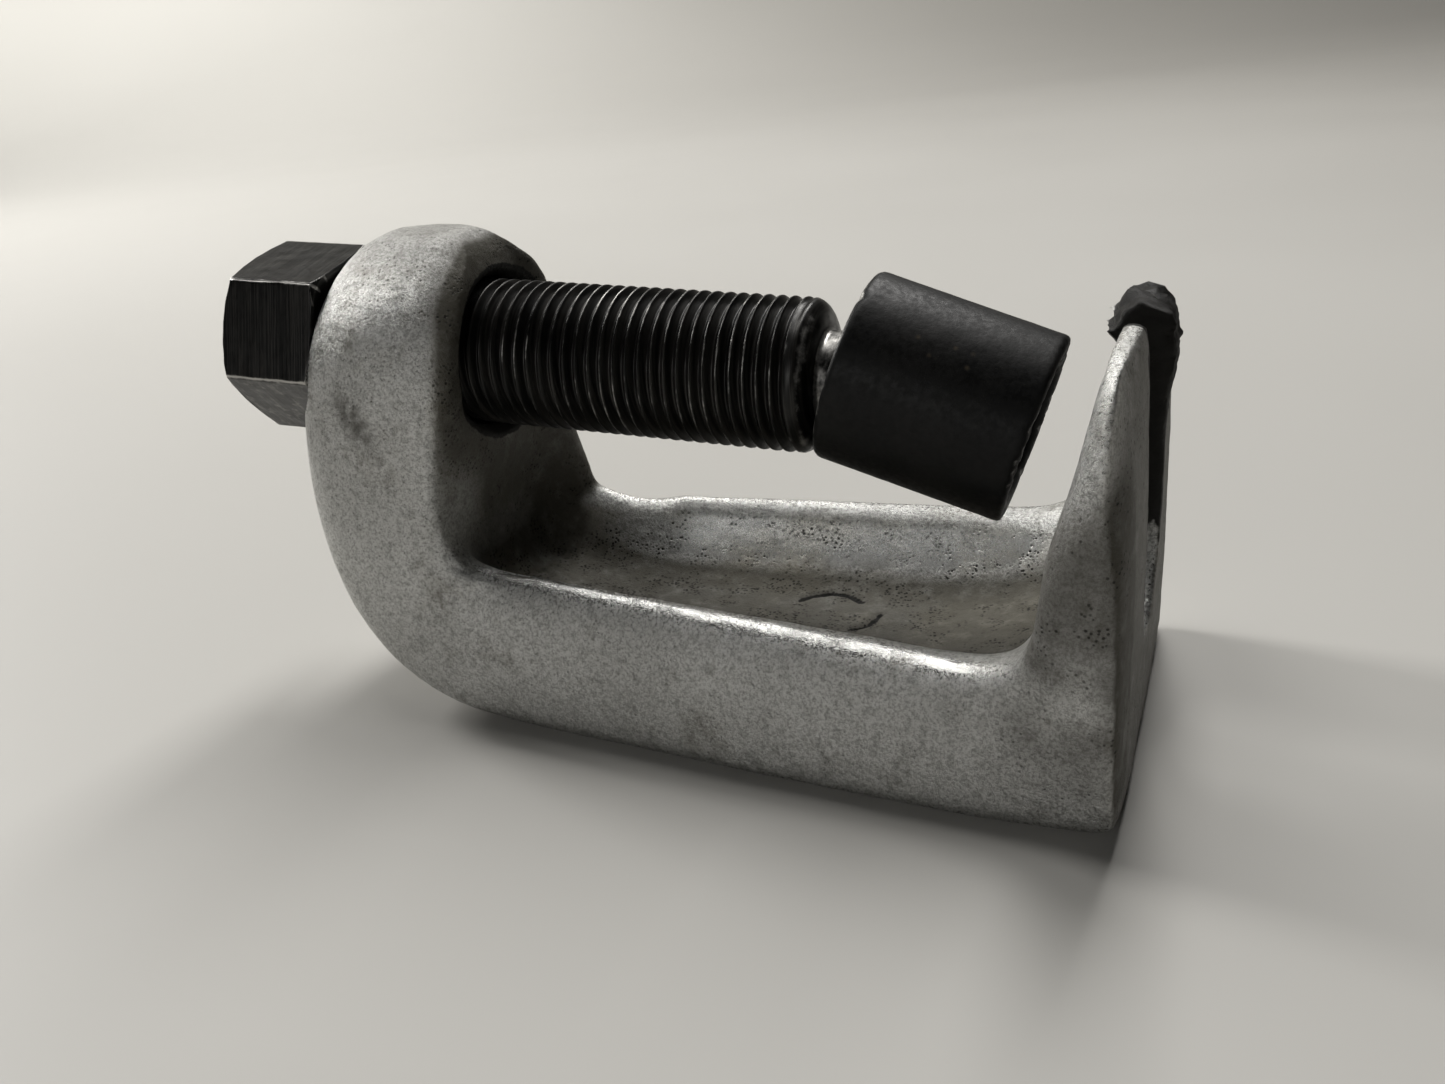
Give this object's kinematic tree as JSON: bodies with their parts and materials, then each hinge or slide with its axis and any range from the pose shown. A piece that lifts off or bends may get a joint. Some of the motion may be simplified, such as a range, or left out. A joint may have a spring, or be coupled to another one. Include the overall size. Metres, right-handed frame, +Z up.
{
  "type": "ball joint separator",
  "caption": "Ball joint separator: forged C frame with a forked jaw, a hexagon head forcing screw and a swivel cup on the screw's end.",
  "frame": {"origin": "middle of the frame's length on the flat back of the spine, which lies on the ground", "axes": "+X from the screw's head towards the fork, +Z up from the flat back"},
  "size_m": [0.1012, 0.0486, 0.0534],
  "materials": {
    "forged_steel": "satin, blasted and plated forging",
    "black_screw": "black oxide, oiled",
    "black_cup": "black oxide, matte",
    "spring_steel": "dark spring steel"
  },
  "bodies": {
    "frame": {"c_frame": "forged_steel"},
    "retainer": {"retaining_ring": "spring_steel"},
    "screw": {"forcing_screw": "black_screw"},
    "cup": {"swivel_cup": "black_cup"}
  },
  "joints": [
    {"name": "screw_advance", "type": "slide", "parent": "frame", "child": "retainer", "axis": [0.9973, 0, -0.0737], "range_m": [-0.03387, 0.00047]},
    {"name": "screw_turn", "type": "hinge", "parent": "retainer", "child": "screw", "pos_m": [0.02142, 0, 0.03596], "axis": [0.9973, 0, -0.0737], "range_deg": [-8640, 120]},
    {"name": "cup_tilt", "type": "hinge", "parent": "retainer", "child": "cup", "pos_m": [0.02142, 0, 0.03596], "axis": [0, -1, 0], "range_deg": [0, 31]}
  ],
  "couplings": [
    {"joint": "screw_turn", "follows": "screw_advance", "rad_per_m": 4452.7}
  ]
}
